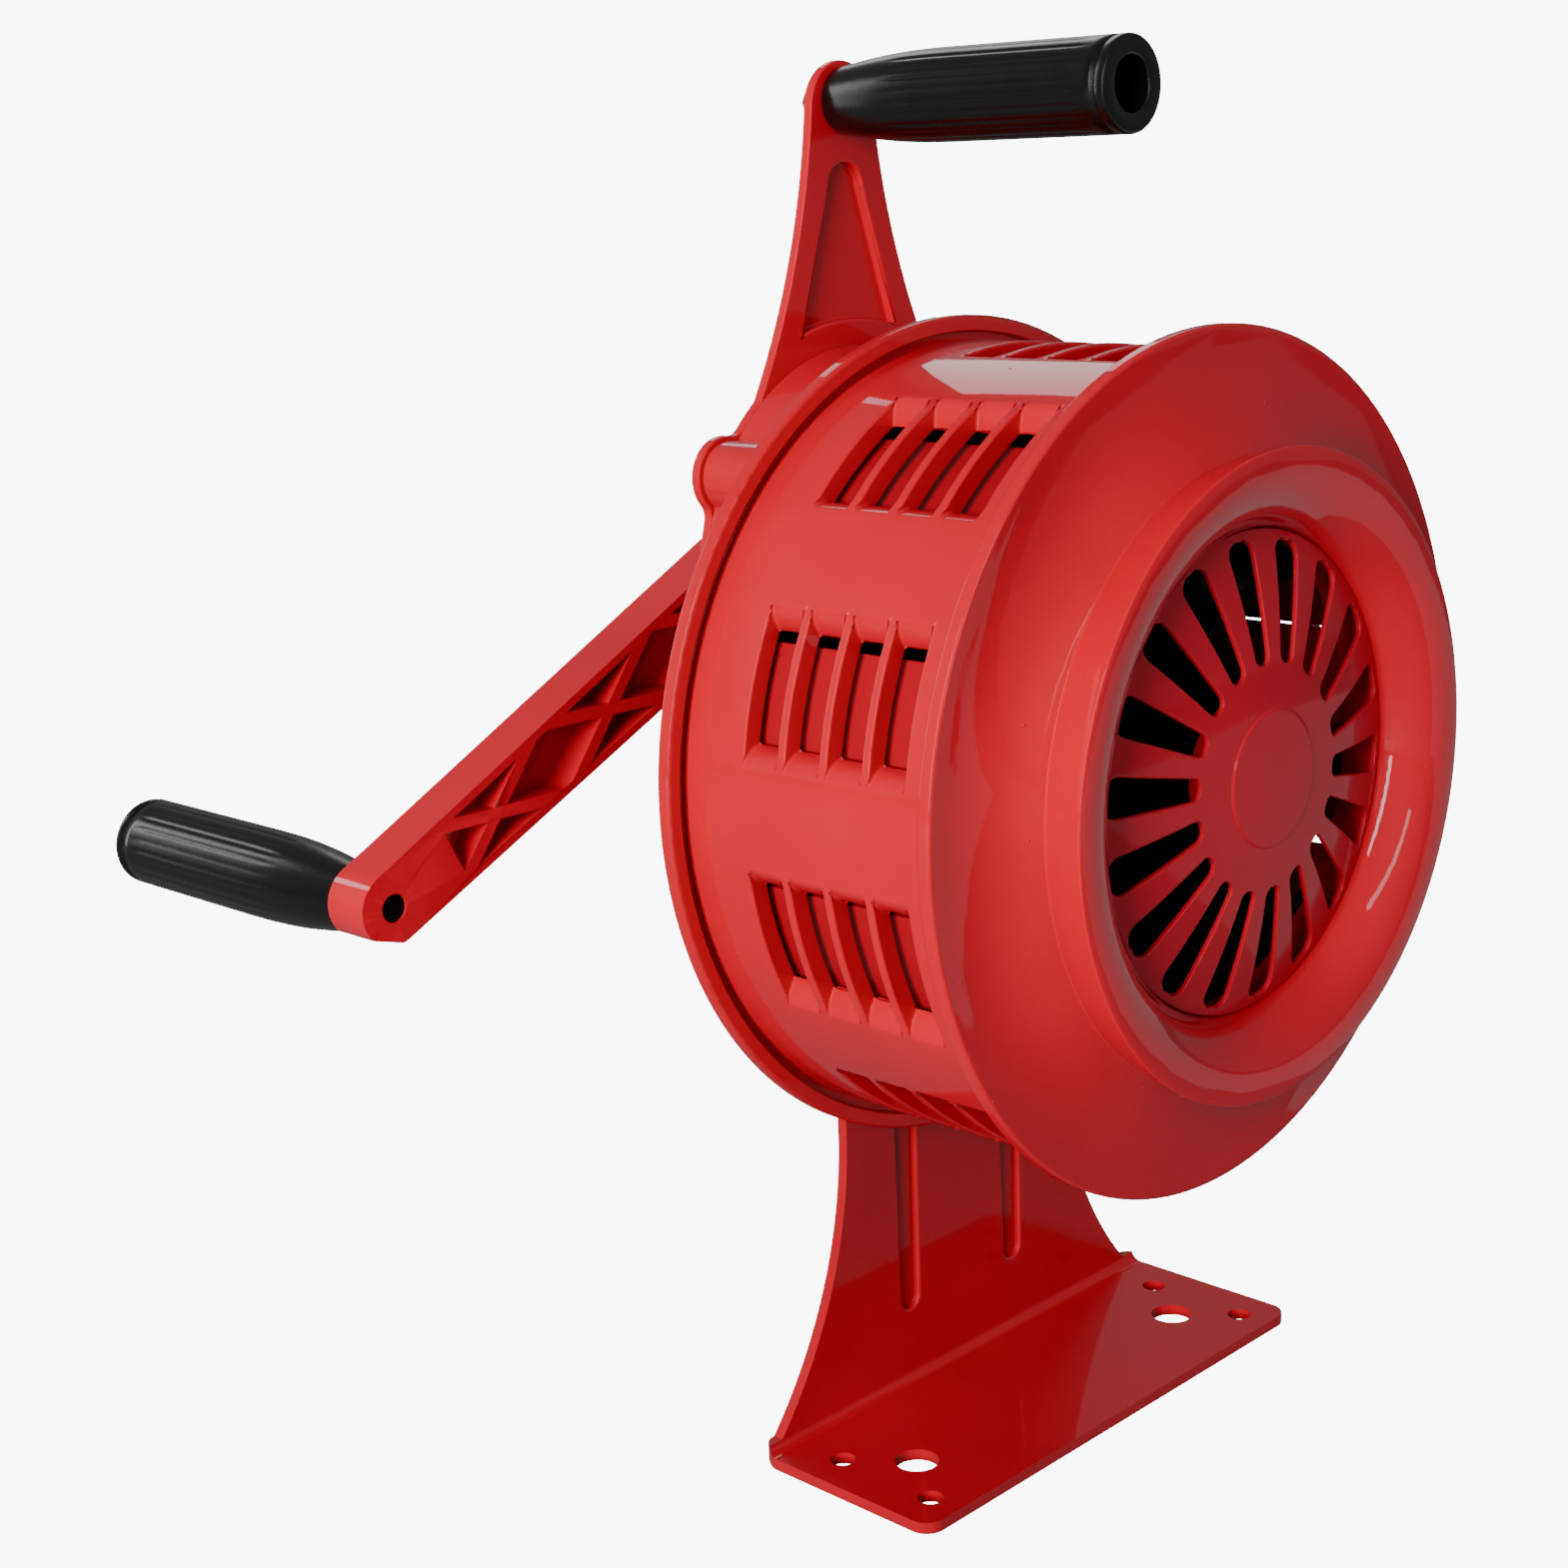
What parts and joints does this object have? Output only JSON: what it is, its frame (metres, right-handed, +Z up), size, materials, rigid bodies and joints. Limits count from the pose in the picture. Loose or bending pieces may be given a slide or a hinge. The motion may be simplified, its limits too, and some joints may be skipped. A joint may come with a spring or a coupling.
{
  "type": "hand crank siren",
  "caption": "Hand cranked siren: a ported rotor in a louvred drum behind a flared bell with a domed grille, on a folded steel foot, with a carry grip.",
  "frame": {"origin": "centre of the foot's four small holes, on the face that the foot stands on", "axes": "+Z up, the bell looks along -Y, the crank is at the back towards +Y"},
  "size_m": [0.2991, 0.2976, 0.4021],
  "materials": {
    "red_casting": "gloss red powder coat on cast aluminium",
    "red_grille": "satin red powder coat on cast aluminium",
    "red_rotor": "satin red enamel on cast aluminium",
    "red_steel": "gloss red powder coat on pressed steel sheet",
    "black_plastic": "moulded black plastic with fine flutes",
    "black_fan": "moulded black plastic",
    "black_steel": "black oxide",
    "plated_steel": "zinc plated",
    "ground_steel": "ground",
    "gear_steel": "hobbed, lightly oiled",
    "bearing_steel": "polished races",
    "bronze": "sintered bronze"
  },
  "bodies": {
    "root": {"front_horn": "red_casting", "intake_grille": "red_grille", "louvre_drum": "red_casting", "back_plate": "red_casting", "base_bracket": "red_steel", "gear_housing": "red_casting", "handle_plate": "red_casting", "carry_grip": "black_plastic", "carry_bolt": "black_steel", "carry_nut": "plated_steel", "front_bearing": "bearing_steel", "rear_bearing": "bearing_steel", "idler_pin": "ground_steel", "crank_bush": "bronze", "bush_nut": "plated_steel", "horn_screws": "plated_steel", "grille_screws": "plated_steel", "back_plate_screws": "plated_steel", "housing_screws": "plated_steel", "bracket_bolts": "plated_steel"},
    "rotor": {"rotor_drum": "red_rotor", "rotor_vanes": "black_fan", "rotor_shaft": "ground_steel", "rotor_nut": "plated_steel", "rotor_pinion": "gear_steel"},
    "idler": {"idler_wheel": "gear_steel", "idler_pinion": "gear_steel"},
    "crank": {"crank_wheel": "gear_steel", "crank_shaft": "ground_steel", "crank_arm": "red_casting", "crank_washer": "plated_steel", "crank_screw": "plated_steel", "crank_grip_bolt": "black_steel"},
    "grip": {"crank_grip": "black_plastic"}
  },
  "joints": [
    {"name": "rotor_spin", "type": "hinge", "parent": "root", "child": "rotor", "pos_m": [0, 0.03, 0.207], "axis": [0, 1, 0], "continuous": true},
    {"name": "idler_spin", "type": "hinge", "parent": "root", "child": "idler", "pos_m": [0.01975, 0.03, 0.2309], "axis": [0, 1, 0], "continuous": true},
    {"name": "crank_turn", "type": "hinge", "parent": "root", "child": "crank", "pos_m": [0, 0.03, 0.261], "axis": [0, 1, 0], "continuous": true},
    {"name": "crank_grip_spin", "type": "hinge", "parent": "crank", "child": "grip", "pos_m": [-0.1651, 0.03, 0.17976], "axis": [0, 1, 0], "continuous": true}
  ],
  "couplings": [
    {"joint": "idler_spin", "follows": "crank_turn", "ratio": -5},
    {"joint": "rotor_spin", "follows": "crank_turn", "ratio": 20.833}
  ]
}
